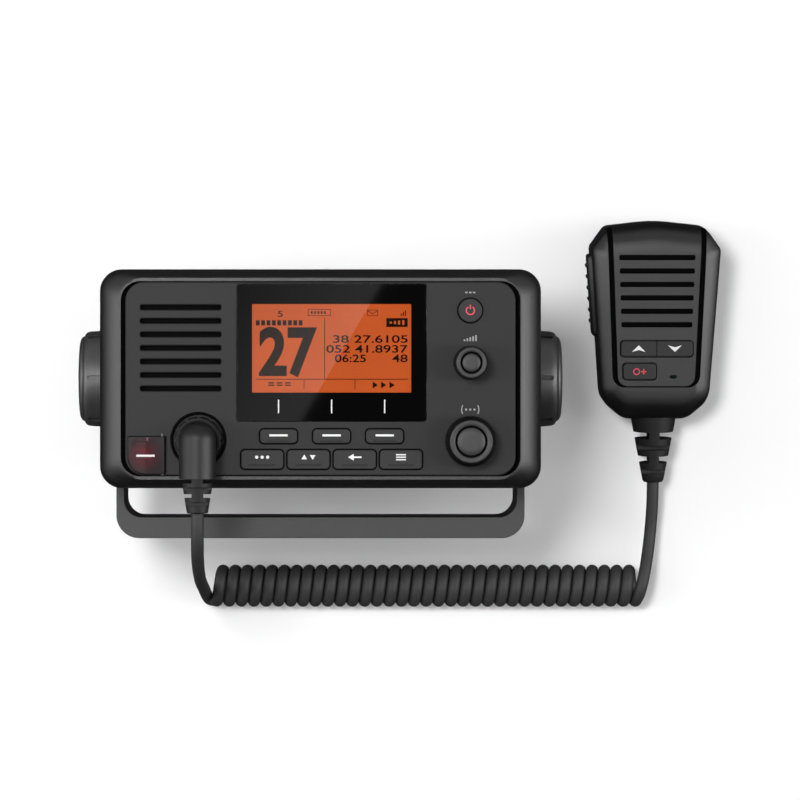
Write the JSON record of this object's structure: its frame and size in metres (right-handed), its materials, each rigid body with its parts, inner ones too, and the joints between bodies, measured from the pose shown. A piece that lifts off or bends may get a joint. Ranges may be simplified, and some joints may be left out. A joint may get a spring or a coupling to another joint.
{
  "type": "vhf marine radio",
  "caption": "Fixed-mount marine radio with display, keys and knobs, U bracket with clamp knobs, and a fist microphone on a curly cord.",
  "frame": {"origin": "on the surface that the radio and the microphone lie on, below the middle of the radio, bracket and microphone together", "axes": "+X to the front panel's right, +Y to the radio's top edge, +Z out of the front panel"},
  "size_m": [0.259, 0.1593, 0.1538],
  "materials": {
    "cast_case": "satin black paint on die-cast aluminium",
    "case_plastic": "fine-grained black polycarbonate",
    "panel_plastic": "dark grey moulded plastic",
    "key_rubber": "matt dark grey key caps",
    "knob_plastic": "soft-touch black",
    "window_glass": "black-printed gloss window",
    "lcd": "backlit orange display",
    "red_cover": "translucent dark red",
    "red_button": "red",
    "circuit_board": "green solder mask",
    "steel": "zinc-plated",
    "brass": "bright",
    "nickel": "nickel plate",
    "aluminium": "plain",
    "speaker_paper": "black paper cone",
    "cloth": "fine black cloth",
    "soft_rubber": "black rubber",
    "cord_rubber": "black polyurethane jacket",
    "mic_plastic": "fine-grained black shell"
  },
  "bodies": {
    "radio": {"rear_chassis": "cast_case", "case_gasket": "soft_rubber", "front_bezel": "case_plastic", "case_screws": "steel", "thread_inserts": "brass", "front_panel": "panel_plastic", "speaker_cloth": "cloth", "speaker_frame": "steel", "speaker_cone": "speaker_paper", "display_window": "window_glass", "lcd_panel": "lcd", "front_board": "circuit_board", "keypad_mat": "soft_rubber", "cover_hinge_pin": "steel", "volume_encoder": "aluminium", "select_encoder": "aluminium", "mic_socket": "case_plastic", "mic_plug": "case_plastic", "plug_strain_relief": "cord_rubber", "main_board": "circuit_board", "rf_shield": "steel", "power_module": "nickel", "board_screws": "steel", "antenna_socket": "nickel", "power_socket": "case_plastic", "bracket_pads": "soft_rubber", "cord_lead_radio": "cord_rubber", "cord_coil": "cord_rubber", "cord_lead_mic": "cord_rubber"},
    "bracket": {"bracket": "case_plastic"},
    "left_clamp_knob": {"left_clamp_knob": "knob_plastic"},
    "right_clamp_knob": {"right_clamp_knob": "knob_plastic"},
    "volume_rotor": {"volume_rotor": "knob_plastic"},
    "volume_knob": {"volume_shaft": "aluminium", "volume_knob": "knob_plastic"},
    "select_rotor": {"select_rotor": "knob_plastic"},
    "select_knob": {"select_shaft": "aluminium", "select_knob": "knob_plastic"},
    "soft_key_left": {"soft_key_left": "key_rubber"},
    "soft_key_middle": {"soft_key_middle": "key_rubber"},
    "soft_key_right": {"soft_key_right": "key_rubber"},
    "menu_key_1": {"menu_key_1": "key_rubber"},
    "menu_key_2": {"menu_key_2": "key_rubber"},
    "menu_key_3": {"menu_key_3": "key_rubber"},
    "menu_key_4": {"menu_key_4": "key_rubber"},
    "power_key": {"power_key": "key_rubber"},
    "distress_button": {"distress_button": "red_button"},
    "distress_cover": {"distress_cover": "red_cover"},
    "plug_collar": {"plug_collar": "case_plastic"},
    "microphone": {"mic_front_shell": "mic_plastic", "mic_back_shell": "mic_plastic", "mic_board": "circuit_board", "mic_speaker": "steel", "mic_screws": "steel", "hanger_stud": "nickel", "mic_strain_relief": "cord_rubber"},
    "ptt_button": {"ptt_button": "key_rubber"},
    "mic_up_key": {"mic_up_key": "key_rubber"},
    "mic_down_key": {"mic_down_key": "key_rubber"},
    "mic_low_key": {"mic_low_key": "key_rubber"}
  },
  "joints": [
    {"name": "bracket_tilt", "type": "hinge", "parent": "radio", "child": "bracket", "pos_m": [-0.03383, -0.00111, 0.069], "axis": [1, 0, 0], "range_deg": [-15, 20]},
    {"name": "left_clamp_turn", "type": "hinge", "parent": "radio", "child": "left_clamp_knob", "pos_m": [-0.11492, -0.00111, 0.069], "axis": [-1, 0, 0], "continuous": true},
    {"name": "right_clamp_turn", "type": "hinge", "parent": "radio", "child": "right_clamp_knob", "pos_m": [0.04727, -0.00111, 0.069], "axis": [1, 0, 0], "continuous": true},
    {"name": "volume_turn", "type": "hinge", "parent": "radio", "child": "volume_rotor", "pos_m": [0.02347, 0.00499, 0.134], "axis": [0, 0, 1], "continuous": true},
    {"name": "volume_press", "type": "slide", "parent": "volume_rotor", "child": "volume_knob", "axis": [0, 0, -1], "range_m": [0, 0.0005], "stiffness_N_per_m": 6153.8, "springref_m": -0.00015},
    {"name": "select_turn", "type": "hinge", "parent": "radio", "child": "select_rotor", "pos_m": [0.02347, -0.02501, 0.134], "axis": [0, 0, 1], "continuous": true},
    {"name": "select_press", "type": "slide", "parent": "select_rotor", "child": "select_knob", "axis": [0, 0, -1], "range_m": [0, 0.0005], "stiffness_N_per_m": 6153.8, "springref_m": -0.00015},
    {"name": "soft_key_left_press", "type": "slide", "parent": "radio", "child": "soft_key_left", "axis": [0, 0, -1], "range_m": [0, 0.0008], "stiffness_N_per_m": 1923.1, "springref_m": -0.00024},
    {"name": "soft_key_middle_press", "type": "slide", "parent": "radio", "child": "soft_key_middle", "axis": [0, 0, -1], "range_m": [0, 0.0008], "stiffness_N_per_m": 1923.1, "springref_m": -0.00024},
    {"name": "soft_key_right_press", "type": "slide", "parent": "radio", "child": "soft_key_right", "axis": [0, 0, -1], "range_m": [0, 0.0008], "stiffness_N_per_m": 1923.1, "springref_m": -0.00024},
    {"name": "menu_key_1_press", "type": "slide", "parent": "radio", "child": "menu_key_1", "axis": [0, 0, -1], "range_m": [0, 0.0008], "stiffness_N_per_m": 1923.1, "springref_m": -0.00024},
    {"name": "menu_key_2_press", "type": "slide", "parent": "radio", "child": "menu_key_2", "axis": [0, 0, -1], "range_m": [0, 0.0008], "stiffness_N_per_m": 1923.1, "springref_m": -0.00024},
    {"name": "menu_key_3_press", "type": "slide", "parent": "radio", "child": "menu_key_3", "axis": [0, 0, -1], "range_m": [0, 0.0008], "stiffness_N_per_m": 1923.1, "springref_m": -0.00024},
    {"name": "menu_key_4_press", "type": "slide", "parent": "radio", "child": "menu_key_4", "axis": [0, 0, -1], "range_m": [0, 0.0008], "stiffness_N_per_m": 1923.1, "springref_m": -0.00024},
    {"name": "power_key_press", "type": "slide", "parent": "radio", "child": "power_key", "axis": [0, 0, -1], "range_m": [0, 0.0008], "stiffness_N_per_m": 1923.1, "springref_m": -0.00024},
    {"name": "distress_press", "type": "slide", "parent": "radio", "child": "distress_button", "axis": [0, 0, -1], "range_m": [0, 0.001], "stiffness_N_per_m": 1923.1, "springref_m": -0.0003},
    {"name": "distress_cover_lift", "type": "hinge", "parent": "radio", "child": "distress_cover", "pos_m": [-0.09433, -0.03046, 0.1335], "axis": [0, 1, 0], "range_deg": [0, 95], "stiffness_Nm_per_rad": 0.002, "springref_deg": -17.19},
    {"name": "plug_collar_turn", "type": "hinge", "parent": "radio", "child": "plug_collar", "pos_m": [-0.08052, -0.02456, 0.1343], "axis": [0, 0, 1], "range_deg": [0, 60]},
    {"name": "mic_lift", "type": "slide", "parent": "radio", "child": "microphone", "axis": [0, 0, 1], "range_m": [0, 0.06]},
    {"name": "ptt_press", "type": "slide", "parent": "microphone", "child": "ptt_button", "axis": [0.9974, 0.0719, 0.0066], "range_m": [0, 0.0015], "stiffness_N_per_m": 2051.3, "springref_m": -0.00045},
    {"name": "mic_up_press", "type": "slide", "parent": "microphone", "child": "mic_up_key", "axis": [0, 0.0912, -0.9958], "range_m": [0, 0.0007], "stiffness_N_per_m": 2197.8, "springref_m": -0.00021},
    {"name": "mic_down_press", "type": "slide", "parent": "microphone", "child": "mic_down_key", "axis": [0, 0.0912, -0.9958], "range_m": [0, 0.0007], "stiffness_N_per_m": 2197.8, "springref_m": -0.00021},
    {"name": "mic_low_press", "type": "slide", "parent": "microphone", "child": "mic_low_key", "axis": [0, 0.0912, -0.9958], "range_m": [0, 0.0007], "stiffness_N_per_m": 2197.8, "springref_m": -0.00021}
  ]
}
